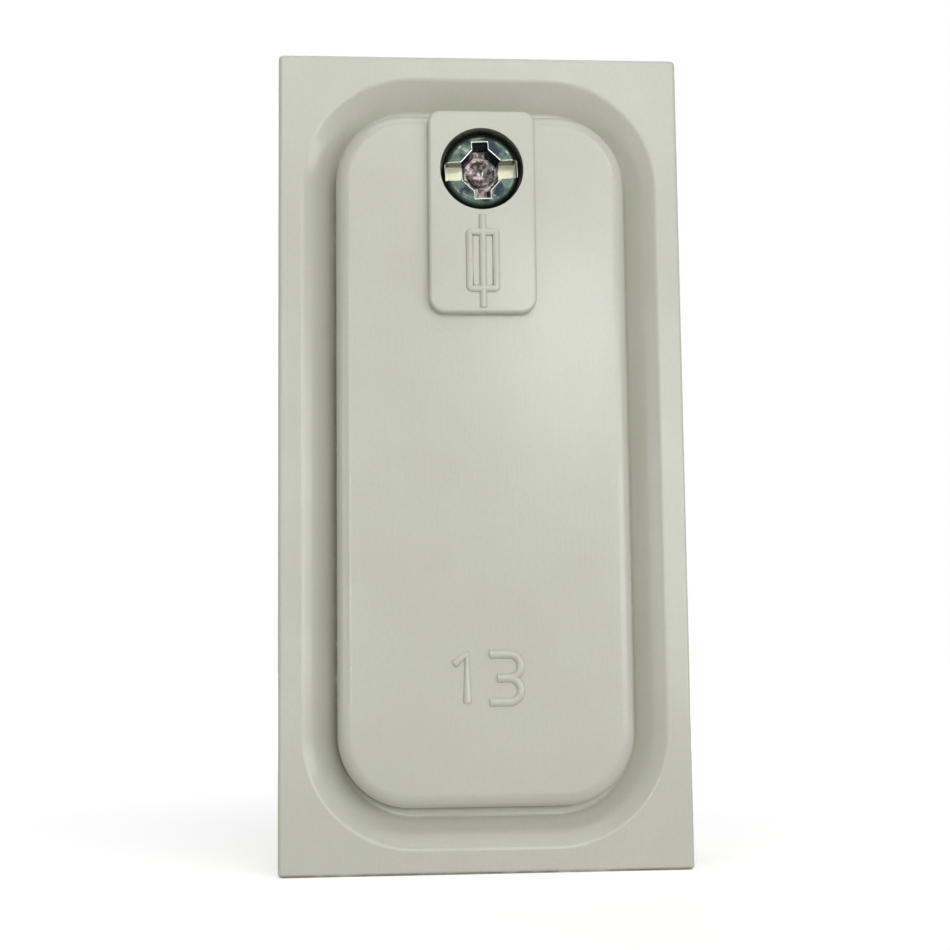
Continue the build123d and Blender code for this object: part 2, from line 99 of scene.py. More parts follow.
# The carrier screw in millimetres. Its head is a hair shorter than the solid's, to stay clear of its
# seat. A crown's points are inwards from the head's side and down from its top. The cross is drawn in
# to this share at its floor, and the slot's floor is this much higher.
HEAD_HEIGHT = 1.68
SHANK_RADIUS = 1.5
CORE_RADIUS = 1.24
NECK_RADIUS = 1.2
HEAD_CROWN = ((0.5, 0), (0.34, 0.03), (0.2, 0.1), (0.08, 0.24), (0, 0.46))
RING_PLAY = 0.05
CROSS_FLOOR = 0.84
SLOT_RISE = 0.05

# The slotted screws in millimetres
SLOTTED_FORMS = {
    "clamp_screw": {"shank": 1.72, "head_height": 1.8, "slot_width": 0.9, "slot_depth": 1.0},
    "fixing_screw": {"shank": 1.1, "head_height": 1.3, "slot_width": 0.5, "slot_depth": 0.6},
}
SLOTTED_THREAD_DEPTH = 0.3
SLOTTED_CROWN = ((0, 0.3), (0.08, 0.1), (0.3, 0))
SEAT_ROUND = 0.05
FULL_SHANK = 0.2

# All the screws in millimetres: a plain stretch at each end of the thread, the edges, and how far a
# slot's cutter stands out of the head
THREAD_RUN_IN = 0.4
THREAD_RUN_OUT = 0.5
TIP_CHAMFER = 0.3
EDGE_ROUND = 0.05
CUT_PAST = 0.2

# The pieces by how they are made: the other nodes are metal pieces and the fuse, dressed as they are
PLASTIC_NODES = ("front_frame", "rear_base", "fuse_carrier")
SLOTTED_SCREWS = ("clamp_screw_supply", "clamp_screw_load", "fixing_screw_left", "fixing_screw_right")

# The camera, from the photograph's fit: below and a little left of the middle, looking up. The middle
# of the flange's face lies this far to the right of the camera, above it and in front of it, in
# millimetres, and the lens shift is in pixels.
PICTURE_WIDTH = 950
CAMERA_LEAN, CAMERA_TURN, CAMERA_TILT = (math.radians(angle) for angle in (0.19, 4.43, -6.34))
FACE_FROM_CAMERA = Vector((0.32, 1.28, -103.3))
LENS_SHIFT = (-3, 1)

# The lamps: width and height in metres, then azimuth and elevation in degrees. A wide key light in
# front on the right, one far out on the left, two above, one behind, a small window for the sheen on
# the right, and a narrow light for the lines on the edges.
LAMPS = {
    "key": ((0.5, 0.16), 37, 3),
    "left": ((0.2, 0.16), -60, 3),
    "over": ((0.35, 0.14), 12, 27),
    "wash": ((0.4, 0.4), 0, 68),
    "rear": ((0.4, 0.3), 190, 35),
    "window": ((0.045, 0.08), 8, 11.5),
    "line": ((0.006, 0.15), -7, 5),
}
LAMP_DISTANCE = 0.5

# The floor, in metres: its glow for the camera grows with the distance from the object, to keep a shadow
FLOOR_RADIUS = 3.0
GLOW_STARTS, GLOW_ENDS = 0.04, 0.22
GLOW_NEAR, GLOW_FAR = 0.52, 1.02


# Node helpers


def add_node(tree, kind, inputs=None, **settings):
    """A new node with its settings, and its inputs linked to sockets or set to values."""
    made = tree.nodes.new(kind)
    for name, value in settings.items():
        setattr(made, name, value)
    for key, value in (inputs or {}).items():
        if isinstance(value, bpy.types.NodeSocket):
            tree.links.new(value, made.inputs[key])
        else:
            made.inputs[key].default_value = value
    return made


def maths(tree, operation, *values):
    """The result of a Math node on sockets or numbers."""
    return add_node(tree, "ShaderNodeMath", dict(enumerate(values)), operation=operation).outputs[0]


def product(tree, first, *others):
    """The product of two or more sockets or numbers."""
    for other in others:
        first = maths(tree, "MULTIPLY", first, other)
    return first


def inverse(tree, value):
    """What a share leaves of 1."""
    return maths(tree, "SUBTRACT", 1.0, value)


def diagonal(tree, first, second):
    """The length of the line that goes this far along each of two axes."""
    squares = [maths(tree, "POWER", value, 2.0) for value in (first, second)]
    return maths(tree, "SQRT", maths(tree, "ADD", *squares))


def eased(tree, value, low, high):
    """0 below low, 1 above high and a smooth step between them."""
    inputs = {"Value": value, "From Min": low, "From Max": high}
    return add_node(tree, "ShaderNodeMapRange", inputs, interpolation_type="SMOOTHSTEP").outputs["Result"]


def laid_on(tree, base, colour, mask, share=1.0):
    """The base with a colour over it where the mask is 1, at this share of its full strength."""
    inputs = {0: maths(tree, "MULTIPLY", mask, share), 6: base, 7: colour}
    return add_node(tree, "ShaderNodeMix", inputs, data_type="RGBA").outputs[2]


def own_place(tree):
    """The place on the part, as Object coordinates."""
    return add_node(tree, "ShaderNodeTexCoord").outputs["Object"]


def about_screw(tree, front):
    """X, Y and Z sockets counted from the carrier screw's axis at a depth, and the distance from it."""
    start = (-SCREW_AXIS.x, -front, -SCREW_AXIS.z)
    moved = add_node(tree, "ShaderNodeMapping", {"Vector": own_place(tree), "Location": start})
    place = add_node(tree, "ShaderNodeSeparateXYZ", {0: moved.outputs[0]}).outputs
    return place, diagonal(tree, place["X"], place["Z"])


def noise(tree, size, stretch=(1, 1, 1), detail=3.0, shift=0.0):
    """Noise with patches of about this size in metres, stretched along X, Y and Z."""
    scale = tuple(1 / (size * s) for s in stretch)
    inputs = {"Vector": own_place(tree), "Location": (shift,) * 3, "Scale": scale}
    mapping = add_node(tree, "ShaderNodeMapping", inputs)
    inputs = {"Vector": mapping.outputs[0], "Scale": 1.0, "Detail": detail}
    return add_node(tree, "ShaderNodeTexNoise", inputs).outputs["Fac"]


def linear(red, green, blue):
    """A colour given as 0 to 255 screen values, as linear values with full opacity."""
    return tuple(
        v / 12.92 if v <= 0.04045 else ((v + 0.055) / 1.055) ** 2.4
        for v in (red / 255, green / 255, blue / 255)
    ) + (1.0,)


def opaque(colour):
    """A property's colour with full opacity."""
    return tuple(colour) + (1.0,)


def new_surface(name, **values):
    """A material with one Principled surface, and its node tree and surface."""
    material = bpy.data.materials.new(name)
    material.use_nodes = True
    surface = material.node_tree.nodes["Principled BSDF"]
    for socket, value in values.items():
        surface.inputs[socket.replace("_", " ")].default_value = value
    return material, material.node_tree, surface


def add_bump(tree, surface, *layers):
    """Bumps on a surface: each layer is a height socket and its depth in metres."""
    normal = None
    for height, depth in layers:
        bump = add_node(tree, "ShaderNodeBump", {"Height": height, "Strength": 1.0, "Distance": depth})
        if normal:
            tree.links.new(normal, bump.inputs["Normal"])
        normal = bump.outputs["Normal"]
    tree.links.new(normal, surface.inputs["Normal"])


# Finishes


def corner_shade_and_grime(tree):
    """Painted shade and dust in the corners, in patches, from ambient occlusion."""
    corner = add_node(tree, "ShaderNodeAmbientOcclusion", {"Distance": 0.7 * MM}, samples=8, only_local=False)
    depth = inverse(tree, corner.outputs["AO"])
    patches = eased(tree, noise(tree, 1.2 * MM), 0.15, 0.6)
    return product(tree, eased(tree, depth, 0.42, 0.72), patches)


def seam_shadow_and_grime(tree):
    """Painted shadow and dirt in the seam round the carrier, thickest on the left and below, where the shadow
    falls.

    It follows the distance outside the carrier's outline, a rectangle with round corners.
    """
    place = add_node(tree, "ShaderNodeSeparateXYZ", {0: own_place(tree)}).outputs
    beyond = []
    for axis, half in (("X", CARRIER_HIGH.x), ("Z", CARRIER_HIGH.z)):
        past = maths(tree, "SUBTRACT", maths(tree, "ABSOLUTE", place[axis]), half - CARRIER_CORNER)
        beyond.append(maths(tree, "MAXIMUM", past, 0.0))
    outside = maths(tree, "SUBTRACT", diagonal(tree, *beyond), CARRIER_CORNER)
    front, full, rear = (FACE_LOW.y + depth * MM for depth in (0.55, 0.85, 2))
    seam = product(
        tree,
        eased(tree, outside, -0.12 * MM, -0.02 * MM),
        inverse(tree, eased(tree, outside, 0.02 * MM, 0.3 * MM)),
        eased(tree, place["Y"], front, full),
        maths(tree, "LESS_THAN", place["Y"], rear),
    )
    # painted shadow: stronger on the left and below
    rightwards = eased(tree, maths(tree, "ADD", place["X"], place["Z"]), -8 * MM, 14 * MM)
    strength = maths(tree, "MULTIPLY_ADD", inverse(tree, rightwards), 0.5, 0.3)
    return product(tree, seam, strength, eased(tree, noise(tree, 1.0 * MM, shift=13.0), 0.1, 0.5))


def well_shade_and_dirt(tree):
    """Where the wall of the screw's well is darkened just below its rim: painted shade, with some dirt."""
    place, radius = about_screw(tree, CARRIER_LOW.y)
    near = maths(tree, "LESS_THAN", radius, WELL_RADIUS + 0.1 * MM)
    return product(tree, near, eased(tree, place["Y"], 0.02 * MM, 0.16 * MM))


def specks(tree):
    """Sparse small specks: one in about seven cells of a loose pattern."""
    inputs = {"Vector": own_place(tree), "Scale": 1 / (2.2 * MM)}
    cells = add_node(tree, "ShaderNodeTexVoronoi", inputs).outputs
    near = maths(tree, "LESS_THAN", cells["Distance"], 0.035)
    chance = add_node(tree, "ShaderNodeSeparateColor", {"Color": cells["Color"]}).outputs[0]
    return product(tree, near, maths(tree, "GREATER_THAN", chance, 0.86))


def moulded_plastic(name, colour, shade, grime_and_shade, roughness, well=False):
    """Moulded thermoset: faint mottling, soft orange peel, fine upright scratches, specks, and dirt with
    painted shade in corners and a painted shadow in the seam.
    """
    material, tree, surface = new_surface(
        name, Roughness=roughness, IOR=1.5, Coat_Weight=0.5, Coat_Roughness=0.14
    )
    cloud = eased(tree, noise(tree, 6 * MM, detail=2.0), 0.35, 0.65)
    mottling = eased(tree, noise(tree, 0.22 * MM, detail=2.0, shift=3.0), 0.3, 0.7)
    dusty = tuple(0.86 * clean + 0.14 * dirty for clean, dirty in zip(colour, grime_and_shade))
    base = laid_on(tree, colour, shade, cloud, share=0.6)
    base = laid_on(tree, base, dusty, mottling, share=0.3)
    # painted shade and dust in the corners
    base = laid_on(tree, base, grime_and_shade, corner_shade_and_grime(tree), share=0.8)
    # painted shadow and dirt in the seam round the carrier
    base = laid_on(tree, base, grime_and_shade, seam_shadow_and_grime(tree))
    if well:
        # painted shade and dirt on the wall of the screw's well
        base = laid_on(tree, base, linear(70, 70, 60), well_shade_and_dirt(tree), share=0.5)
    base = laid_on(tree, base, grime_and_shade, specks(tree), share=0.6)
    tree.links.new(base, surface.inputs["Base Color"])

    # upright scratches and an uneven gloss
    scratch = noise(tree, 0.13 * MM, stretch=(1, 1, 22), detail=2.0, shift=7.0)
    scratched = eased(tree, noise(tree, 5 * MM, shift=11.0), 0.45, 0.65)
    drawn = product(tree, eased(tree, scratch, 0.58, 0.72), scratched)
    gloss = maths(tree, "MULTIPLY_ADD", cloud, 0.08, roughness - 0.04)
    gloss = maths(tree, "MULTIPLY_ADD", drawn, 0.2, gloss)
    tree.links.new(gloss, surface.inputs["Roughness"])
    peel = noise(tree, 0.55 * MM, detail=1.0, shift=5.0)
    add_bump(tree, surface, (peel, 0.006 * MM), (scratch, 0.008 * MM))
    return material


def worn_metal(name, colour, shade, roughness, grain=(1, 1, 1)):
    """Plated or bare metal with cloudy tarnish and a fine grain."""
    material, tree, surface = new_surface(name, Metallic=1.0, Roughness=roughness)
    cloud = eased(tree, noise(tree, 1.6 * MM, detail=4.0), 0.35, 0.7)
    fine = noise(tree, 0.12 * MM, stretch=grain, detail=3.0, shift=2.0)
    tree.links.new(laid_on(tree, colour, shade, cloud), surface.inputs["Base Color"])
    gloss = maths(tree, "MULTIPLY_ADD", fine, 0.16, roughness - 0.08)
    tree.links.new(gloss, surface.inputs["Roughness"])
    add_bump(tree, surface, (fine, 0.0015 * MM))
    return material


def rubbed_steel(name, colour, shade, edge_wear_and_highlight, roughness):
    """Dark plated steel, its dark colour and cloudy patches partly tarnish and partly a painted dark
    reflection, with painted highlights and wear on its edges and a painted highlight on the floor of its
    slot.
    """
    material, tree, surface = new_surface(name, Metallic=1.0, Roughness=roughness)
    # the dark colour, the cloudy patches and the lighter patches: partly tarnish, partly a painted dark
    # reflection
    cloud = eased(tree, noise(tree, 0.8 * MM, detail=3.0, shift=1.0), 0.4, 0.6)
    lighter_patches = eased(tree, noise(tree, 0.5 * MM, detail=3.0, shift=6.0), 0.56, 0.7)
    place, radius = about_screw(tree, SCREW_LOW.y)
    rim = eased(tree, radius, 1.98 * MM, 2.08 * MM)
    base = laid_on(tree, colour, shade, cloud)
    base = laid_on(tree, base, linear(128, 136, 126), lighter_patches, share=0.6)
    # painted shade: the rim of the head darker, as its domed side in shadow
    base = laid_on(tree, base, linear(66, 78, 68), rim, share=0.75)

    # inside the recess: painted shade on the dark walls, a dull mottled middle, and a painted highlight on
    # the floor of the slot on both sides
    above_seat = maths(tree, "LESS_THAN", place["Y"], (HEAD_HEIGHT - 0.02) * MM)
    below_top = eased(tree, place["Y"], 0.06 * MM, 0.14 * MM)
    near_floor = eased(tree, place["Y"], 0.9 * MM, 1.02 * MM)
    inside = product(tree, below_top, above_seat, inverse(tree, rim))
    deep = product(tree, near_floor, above_seat)
    beside_cross = eased(tree, maths(tree, "ABSOLUTE", place["X"]), 1.1 * MM, 1.2 * MM)
    slot_floor = product(tree, deep, beside_cross)
    patches = eased(tree, noise(tree, 0.3 * MM, detail=2.0, shift=9.0), 0.42, 0.58)
    dull = laid_on(tree, linear(58, 56, 54), linear(116, 109, 107), patches)
    base = laid_on(tree, base, linear(36, 46, 50), inside)
    base = laid_on(tree, base, dull, deep)
    # painted highlight: the slot's floor near white, as where light falls in it
    base = laid_on(tree, base, linear(236, 236, 206), slot_floor)

    # bright edges outside the recess: painted highlights, with some wear
    edges = add_node(tree, "ShaderNodeAttribute", attribute_name="rubbed").outputs["Fac"]
    base = laid_on(tree, base, edge_wear_and_highlight, product(tree, edges, inverse(tree, inside)), share=0.9)
    tree.links.new(base, surface.inputs["Base Color"])

    # the floor and the walls shine less, so that their painted highlight and painted shade hold
    walls = product(tree, inside, inverse(tree, deep))
    matt = product(tree, maths(tree, "ADD", slot_floor, walls), 0.85)
    tree.links.new(inverse(tree, matt), surface.inputs["Metallic"])
    tree.links.new(maths(tree, "MULTIPLY_ADD", rim, 0.25, roughness), surface.inputs["Roughness"])
    add_bump(tree, surface, (noise(tree, 0.6 * MM, detail=2.0, shift=4.0), 0.012 * MM))
    return material


def fired_ceramic(name, colour, shade):
    """The fuse's white body, faintly speckled."""
    material, tree, surface = new_surface(name, Roughness=0.42, IOR=1.5)
    cloud = eased(tree, noise(tree, 0.9 * MM, detail=4.0), 0.4, 0.7)
    tree.links.new(laid_on(tree, colour, shade, cloud), surface.inputs["Base Color"])
    add_bump(tree, surface, (noise(tree, 0.25 * MM, detail=3.0), 0.003 * MM))
    return material


def finish_for(slot):
    """The material of one of the record's slots, made when it is first asked for."""
    name = "dressed_" + slot
    if name in bpy.data.materials:
        return bpy.data.materials[name]
    plastic = bpy.context.scene.fuse_plastic
    metal = bpy.context.scene.fuse_metal
    grime_and_shade = opaque(plastic.grime_and_shade)
    ivory = opaque(plastic.ivory), opaque(plastic.ivory_shade), grime_and_shade
    base = opaque(plastic.base), opaque(plastic.base_shade), grime_and_shade
    # the third colour is the painted highlight and wear on the carrier screw's edges
    screw = opaque(metal.screw), opaque(metal.screw_shade), linear(222, 226, 216)
    brass = opaque(metal.brass), opaque(metal.brass_shade)
    inward, upright = (1, 9, 1), (1, 1, 12)
    finishes = {
        "front_plastic": (moulded_plastic, *ivory, plastic.gloss),
        "carrier_plastic": (moulded_plastic, *ivory, plastic.gloss, True),
        "base_plastic": (moulded_plastic, *base, plastic.gloss + 0.08),
        "screw_steel": (rubbed_steel, *screw, 0.16),
        "spring_steel": (worn_metal, linear(150, 146, 140), linear(112, 106, 100), 0.34, inward),
        "plated_screw": (worn_metal, linear(196, 190, 172), linear(166, 158, 136), 0.3),
        "terminal_brass": (worn_metal, *brass, 0.34, upright),
        "contact_brass": (worn_metal, linear(206, 168, 96), linear(176, 132, 66), 0.32, upright),
        "fuse_ceramic": (fired_ceramic, linear(228, 224, 214), linear(206, 200, 188)),
        "fuse_cap_metal": (worn_metal, linear(208, 206, 200), linear(176, 172, 164), 0.22, inward),
        "element_wire": (worn_metal, linear(196, 196, 198), linear(160, 160, 160), 0.4),
    }
    maker, *values = finishes[slot]
    return maker(name, *values)


# Mesh helpers


def linked(name, data):
    """A new object in the scene."""
    made = bpy.data.objects.new(name, data)
    bpy.context.scene.collection.objects.link(made)
    return made


def to_scene(name, mesh, body, slot, replaced=()):
    """A finished piece: an object at the origin with its place in its mesh, on its body, with its finish."""
    made = linked(name, mesh)
    if not mesh.materials:
        mesh.materials.append(finish_for(slot))
    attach(made, body)
    if replaced:
        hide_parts(*replaced)


def in_place_of(node, mesh):
    """A finished piece that stands for a CAD node."""
    to_scene(node + "_body", mesh, BODY_OF[node], SLOT_OF[node], (node,))


def applied(holder, name):
    """A plain mesh of an object with its modifiers applied; the object itself goes away."""
    graph = bpy.context.evaluated_depsgraph_get()
    mesh = bpy.data.meshes.new_from_object(holder.evaluated_get(graph))
    mesh.name = name
    bpy.data.objects.remove(holder)
    return mesh


def merged_copy(node):
    """A copy of a CAD node's mesh with its triangles joined and its flat faces made whole."""
    mesh = frame["nodes"][node].data.copy()
    mesh.materials.clear()
    shape = bmesh.new()
    shape.from_mesh(mesh)
    bmesh.ops.remove_doubles(shape, verts=shape.verts, dist=0.0005 * MM)
    bmesh.ops.dissolve_limit(
        shape, angle_limit=math.radians(0.2), verts=shape.verts, edges=shape.edges, delimit={"NORMAL"}
    )
    for face in shape.faces:
        face.smooth = True
    sharp = math.radians(35)
    for edge in shape.edges:
        edge.smooth = len(edge.link_faces) == 2 and edge.calc_face_angle(0.0) < sharp
    shape.to_mesh(mesh)
    shape.free()
    return mesh


def dress(node):
    """Puts a smooth copy of a CAD node in its place."""
    holder = linked(node + "_holder", merged_copy(node))
    weighted = holder.modifiers.new("normals", "WEIGHTED_NORMAL")
    weighted.keep_sharp = True
    weighted.weight = 80
    in_place_of(node, applied(holder, node))


def closed_mesh(name, shape):
    """A mesh from a closed bmesh, with its faces pointing outwards."""
    bmesh.ops.recalc_face_normals(shape, faces=shape.faces)
    mesh = bpy.data.meshes.new(name)
    shape.to_mesh(mesh)
    shape.free()
    return mesh


def turned_blank(name, points, x, z, steps=96):
    """A closed mesh turned about a line along Y at x, z, from its half section of (radius, depth) points."""
    shape = bmesh.new()
    rings = []
    for radius, y in points:
        count = steps if radius else 1
        angles = (TAU * step / steps for step in range(count))
        places = ((x + radius * math.sin(a), y, z + radius * math.cos(a)) for a in angles)
        rings.append([shape.verts.new(place) for place in places])
    for first, second in zip(rings, rings[1:]):
        for step in range(steps):
            after = (step + 1) % steps
            turns = ((first, step), (first, after), (second, after), (second, step))
            corners = [ring[turn % len(ring)] for ring, turn in turns]
            shape.faces.new(list(dict.fromkeys(corners)))
    return closed_mesh(name, shape)


def sunk_solid(name, rings, place):
    """A closed solid through outlines of (x, z) points about place, each at its own depth."""
    shape = bmesh.new()
    loops = [[shape.verts.new((place.x + x, y, place.z + z)) for x, z in points] for points, y in rings]
    for first, second in zip(loops, loops[1:]):
        for corner in range(len(first)):
            after = (corner + 1) % len(first)
            shape.faces.new((first[corner], first[after], second[after], second[corner]))
    shape.faces.new(loops[0])
    shape.faces.new(loops[-1])
    return closed_mesh(name, shape)


def carved(name, blank, cutters):
    """A blank with solids cut out of it, all in millimetres, made a mesh in metres.

    Its edges are rounded. The narrow faces on them carry a face attribute that marks them for painted
    highlights and wear: the rounding puts them in the second of two empty material slots, which tells them
    from the rest.
    """
    blank.shade_smooth()
    for slot in range(2):
        blank.materials.append(None)
    holder = linked(name + "_holder", blank)
    tools = [linked(cutter.name, cutter) for cutter in cutters]
    for tool in tools:
        cut = holder.modifiers.new(tool.name, "BOOLEAN")
        cut.operation = "DIFFERENCE"
        cut.solver = "EXACT"
        cut.object = tool
    bevel = holder.modifiers.new("rounding", "BEVEL")
    bevel.width = EDGE_ROUND
    bevel.segments = 2
    bevel.limit_method = "ANGLE"
    bevel.angle_limit = math.radians(32)
    bevel.material = 1
    bevel.use_clamp_overlap = False
    weighted = holder.modifiers.new("normals", "WEIGHTED_NORMAL")
    weighted.weight = 100
    mesh = applied(holder, name)
    for tool in tools:
        bpy.data.objects.remove(tool)
    rubbed = mesh.attributes.new("rubbed", "FLOAT", "FACE")
    for face, mark in zip(mesh.polygons, rubbed.data):
        mark.value = face.material_index
        face.material_index = 0
    mesh.materials.clear()
    mesh.transform(Matrix.Scale(MM, 4))
    return mesh


def scaled(points, share):
    """Points scaled about the middle."""
    return [(x * share, z * share) for x, z in points]


def oblong(half_x, half_z):
    """The four corners of a rectangle about the middle."""
    return [(half_x, half_z), (-half_x, half_z), (-half_x, -half_z), (half_x, -half_z)]


def arc(centre_x, centre_z, radius, start, end, steps=20):
    """Points on an arc between two angles in degrees."""
    angles = (math.radians(start + (end - start) * step / steps) for step in range(steps + 1))
    return [(centre_x + radius * math.cos(a), centre_z + radius * math.sin(a)) for a in angles]


def rounded_box(half_width, low_z, high_z, corner):
    """Points of a rectangle with rounded corners, anticlockwise as the user sees it."""
    right, left = half_width - corner, corner - half_width
    top, foot = high_z - corner, low_z + corner
    centres = ((right, top), (left, top), (left, foot), (right, foot))
    points = []
    for quarter, (x, z) in enumerate(centres):
        points += arc(x, z, corner, 90 * quarter, 90 * quarter + 90, steps=5)
    return points


def drawn_lines(name, strokes, y):
    """A curve on the plane at depth y. Each stroke is its points, and whether it closes."""
    curve = bpy.data.curves.new(name, "CURVE")
    curve.dimensions = "3D"
    for points, closed in strokes:
        spline = curve.splines.new("POLY")
        spline.points.add(len(points) - 1)
        for point, (x, z) in zip(spline.points, points):
            point.co = (x, y, z, 1.0)
        spline.use_cyclic_u = closed
    return curve


# Geometry node trees


def new_tree(name, source, sizes):
    """A geometry node tree with its named inputs, and the sockets they come from."""
    tree = bpy.data.node_groups.new(name, "GeometryNodeTree")
    tree.is_modifier = True
    kinds = [(source, "Geometry")] + [(size, "Float") for size in sizes] + [("Material", "Material")]
    for title, kind in kinds:
        tree.interface.new_socket(title, in_out="INPUT", socket_type="NodeSocket" + kind)
    tree.interface.new_socket("Result", in_out="OUTPUT", socket_type="NodeSocketGeometry")
    return tree, add_node(tree, "NodeGroupInput").outputs


def finish_tree(tree, given, geometry):
    """Ends a tree: the instances made real and the material put on."""
    real = add_node(tree, "GeometryNodeRealizeInstances", {0: geometry})
    inputs = {"Geometry": real.outputs[0], "Material": given["Material"]}
    coloured = add_node(tree, "GeometryNodeSetMaterial", inputs)
    add_node(tree, "NodeGroupOutput", {0: coloured.outputs[0]})


def swept(tree, path, resolution, height, half_width):
    """An oval section, of this many points, swept along a path whose normals are set."""
    ring = add_node(tree, "GeometryNodeCurvePrimitiveCircle", {"Resolution": resolution, "Radius": 1.0})
    size = add_node(tree, "ShaderNodeCombineXYZ", {"X": height, "Y": half_width, "Z": 1.0})
    inputs = {"Geometry": ring.outputs["Curve"], "Scale": size.outputs[0]}
    section = add_node(tree, "GeometryNodeTransform", inputs)
    inputs = {"Curve": path, "Profile Curve": section.outputs[0], "Fill Caps": True}
    return add_node(tree, "GeometryNodeCurveToMesh", inputs).outputs[0]


def ridge_tree():
    """Geometry nodes that turn drawn lines into raised ridges with a rounded top."""
    tree, given = new_tree("raised_ridge", "Lines", ("Ridge Width", "Ridge Height"))
    half = maths(tree, "MULTIPLY", given["Ridge Width"], 0.5)
    inputs = {"Curve": given["Lines"], "Normal": (0, -1, 0)}
    outward = add_node(tree, "GeometryNodeSetCurveNormal", inputs, mode="FREE")
    ridge = swept(tree, outward.outputs[0], 16, given["Ridge Height"], half)
    smooth = add_node(tree, "GeometryNodeSetShadeSmooth", {0: ridge})
    finish_tree(tree, given, smooth.outputs[0])
    return tree


def thread_tree():
    """Geometry nodes that wind a screw thread round the shank of a blank."""
    sizes = ("Core Radius", "Thread Depth", "Pitch", "Thread Length", "Start Depth", "Axis X", "Axis Z")
    tree, given = new_tree("screw_thread", "Blank", sizes)
    inputs = {
        "Resolution": 40,
        "Rotations": maths(tree, "DIVIDE", given["Thread Length"], given["Pitch"]),
        "Start Radius": given["Core Radius"],
        "End Radius": given["Core Radius"],
        "Height": given["Thread Length"],
    }
    path = add_node(tree, "GeometryNodeCurveSpiral", inputs)
    level = add_node(tree, "GeometryNodeSetCurveNormal", {"Curve": path.outputs[0]}, mode="Z_UP")
    half = maths(tree, "MULTIPLY", given["Pitch"], 0.46)
    thread = swept(tree, level.outputs[0], 4, given["Thread Depth"], half)
    inputs = {"X": given["Axis X"], "Y": given["Start Depth"], "Z": given["Axis Z"]}
    place = add_node(tree, "ShaderNodeCombineXYZ", inputs)
    inputs = {"Geometry": thread, "Translation": place.outputs[0], "Rotation": (-math.pi / 2, 0, 0)}
    laid = add_node(tree, "GeometryNodeTransform", inputs)
    both = add_node(tree, "GeometryNodeJoinGeometry", {0: laid.outputs[0]})
    tree.links.new(given["Blank"], both.inputs[0])
    finish_tree(tree, given, both.outputs[0])
    return tree


def grown(name, source, tree, values):
    """A plain mesh made from a curve or mesh by a geometry node tree with these input values."""
    holder = linked(name + "_holder", source)
    modifier = holder.modifiers.new("shape", "NODES")
    modifier.node_group = tree
    for item in tree.interface.items_tree:
        if item.item_type == "SOCKET" and item.in_out == "INPUT" and item.name in values:
            modifier[item.identifier] = values[item.name]
    mesh = applied(holder, name)
    mesh.materials.clear()
    mesh.materials.append(values["Material"])
    mesh.polygons.foreach_set("material_index", [0] * len(mesh.polygons))
    return mesh


def threaded(node, mesh, tree, place, ends, radii, pitch):
    """A screw's mesh with a thread on it.

    The thread's ends are depths, and its radii those of its core and its crest, all in millimetres. Its
    pitch is in metres.
    """
    start, end = ends
    core, crest = radii
    values = {
        "Core Radius": core * MM,
        "Thread Depth": (crest - core) * MM,
        "Pitch": pitch,
        "Thread Length": (end - start) * MM,
        "Start Depth": start * MM,
        "Axis X": place.x * MM,
        "Axis Z": place.z * MM,
        "Material": finish_for(SLOT_OF[node]),
    }
    return grown(node, mesh, tree, values)


def raise_lines(name, strokes, y, width, height):
    """Raises drawn lines on the carrier, at depth y."""
    values = {"Ridge Width": width, "Ridge Height": height, "Material": finish_for("carrier_plastic")}
    mesh = grown(name, drawn_lines(name, strokes, y), ridge_tree(), values)
    to_scene(name, mesh, "carrier", "carrier_plastic")


# Sizes and colours


def colour_property(title, description, *screen):
    """A colour with its default as 0 to 255 screen values."""
    return FloatVectorProperty(
        name=title, description=description, subtype="COLOR", default=linear(*screen)[:3], min=0, max=1
    )


def length_property(title, description, default):
    """A length with its default in millimetres."""
    return FloatProperty(name=title, description=description, default=default * MM, unit="LENGTH")


def power_property(title, description, default):
    """The power of a light in watts."""
    return FloatProperty(name=title, description=description, default=default, unit="POWER")


class FusePlastic(bpy.types.PropertyGroup):
    """The colours and gloss of the moulded pieces."""

    ivory: colour_property("Ivory", "Colour of the face and the carrier", 190, 191, 177)
    ivory_shade: colour_property("Ivory shade", "Darker patches of the ivory", 184, 186, 170)
    base: colour_property("Base", "Colour of the rear base", 176, 177, 168)
    base_shade: colour_property("Base shade", "Darker patches of the rear base", 166, 167, 157)
    # This colour is also the painted shade in the corners and the painted shadow in the seam round the
    # carrier.
    grime_and_shade: colour_property("Grime", "Dust and grime in corners and specks", 96, 90, 72)
    gloss: FloatProperty(
        name="Roughness", description="How matt the plastic is", default=0.34, min=0.05, max=1,
        subtype="FACTOR",
    )


class FuseMetal(bpy.types.PropertyGroup):
    """The colours of the metal pieces."""

    # The carrier screw's dark colour and its tarnish are partly a painted dark reflection.
    screw: colour_property("Screw", "Colour of the carrier screw", 74, 86, 78)
    screw_shade: colour_property("Screw shade", "Tarnish on the carrier screw", 36, 44, 50)
    brass: colour_property("Brass", "Colour of the terminals", 212, 178, 108)
    brass_shade: colour_property("Brass shade", "Tarnish on the terminals", 176, 138, 76)


